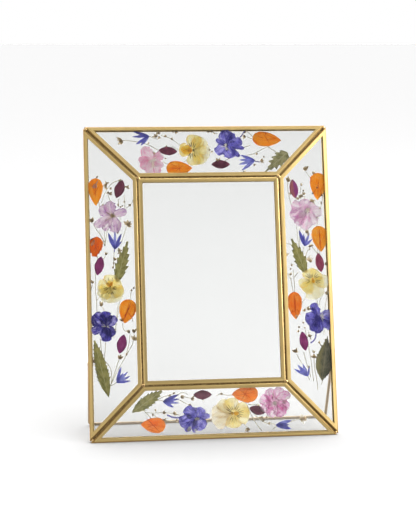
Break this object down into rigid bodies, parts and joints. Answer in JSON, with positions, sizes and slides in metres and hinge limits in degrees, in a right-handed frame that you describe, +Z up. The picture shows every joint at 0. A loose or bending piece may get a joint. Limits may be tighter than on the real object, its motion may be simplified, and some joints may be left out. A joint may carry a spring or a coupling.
{
  "type": "pressed flower photo frame",
  "caption": "Free-standing brass and glass photo frame, its sloping borders holding pressed flowers between clear sheets, with a bent rod stand hinged behind.",
  "frame": {"origin": "on the table, under the middle of the frame's bounding box", "axes": "+X to the right as seen from the front, +Y to the back, +Z up"},
  "size_m": [0.1858, 0.0684, 0.2258],
  "materials": {
    "brass_channel": "satin",
    "brass_rod": "satin",
    "brass_lug": "satin",
    "clear_glass": "clear",
    "blue_petal": "dry, matte",
    "pink_petal": "dry, matte",
    "lilac_petal": "dry, matte",
    "maroon_petal": "dry, matte",
    "orange_petal": "dry, matte",
    "yellow_petal": "dry, matte",
    "cream_petal": "dry, matte",
    "purple_petal": "dry, matte",
    "green_leaf": "dry, matte",
    "dark_leaf": "dry, matte"
  },
  "bodies": {
    "frame": {"bottom_blue_floret": "blue_petal", "bottom_came": "brass_channel", "bottom_cream_pansy": "cream_petal", "bottom_glass_back": "clear_glass", "bottom_glass_front": "clear_glass", "bottom_green_leaf": "green_leaf", "bottom_maroon_petal_left": "maroon_petal", "bottom_maroon_petal_right": "maroon_petal", "bottom_orange_petal_left": "orange_petal", "bottom_orange_petal_right": "orange_petal", "bottom_pink_larkspur": "pink_petal", "bottom_purple_larkspur": "purple_petal", "centre_came": "brass_channel", "centre_glass_back": "clear_glass", "centre_glass_front": "clear_glass", "hinge_ear_left": "brass_lug", "hinge_ear_right": "brass_lug", "left_blue_floret": "blue_petal", "left_came": "brass_channel", "left_glass_back": "clear_glass", "left_glass_front": "clear_glass", "left_lilac_larkspur": "lilac_petal", "left_long_leaf": "green_leaf", "left_maroon_petal_lower": "maroon_petal", "left_maroon_petal_middle": "maroon_petal", "left_maroon_petal_upper": "maroon_petal", "left_orange_petal_lower": "orange_petal", "left_orange_petal_middle": "orange_petal", "left_orange_petal_upper": "orange_petal", "left_purple_larkspur": "purple_petal", "left_serrated_leaf": "green_leaf", "left_yellow_pansy": "yellow_petal", "right_blue_floret": "blue_petal", "right_broad_leaf": "dark_leaf", "right_came": "brass_channel", "right_glass_back": "clear_glass", "right_glass_front": "clear_glass", "right_maroon_petal_lower": "maroon_petal", "right_maroon_petal_middle": "maroon_petal", "right_maroon_petal_upper": "maroon_petal", "right_orange_petal_lower": "orange_petal", "right_orange_petal_middle": "orange_petal", "right_orange_petal_upper": "orange_petal", "right_pink_larkspur": "pink_petal", "right_purple_larkspur": "purple_petal", "right_serrated_leaf": "green_leaf", "right_yellow_pansy": "yellow_petal", "top_blue_floret": "blue_petal", "top_came": "brass_channel", "top_glass_back": "clear_glass", "top_glass_front": "clear_glass", "top_green_leaf": "green_leaf", "top_maroon_petal_left": "maroon_petal", "top_maroon_petal_right": "maroon_petal", "top_orange_petal_left": "orange_petal", "top_orange_petal_right": "orange_petal", "top_pink_larkspur": "pink_petal", "top_purple_larkspur": "purple_petal", "top_yellow_pansy": "yellow_petal"},
    "stand": {"stand_rod": "brass_rod"}
  },
  "joints": [
    {"name": "stand_fold", "type": "hinge", "parent": "frame", "child": "stand", "pos_m": [0, -0.01168, 0.05626], "axis": [-1, 0, 0], "range_deg": [0, 38]}
  ]
}
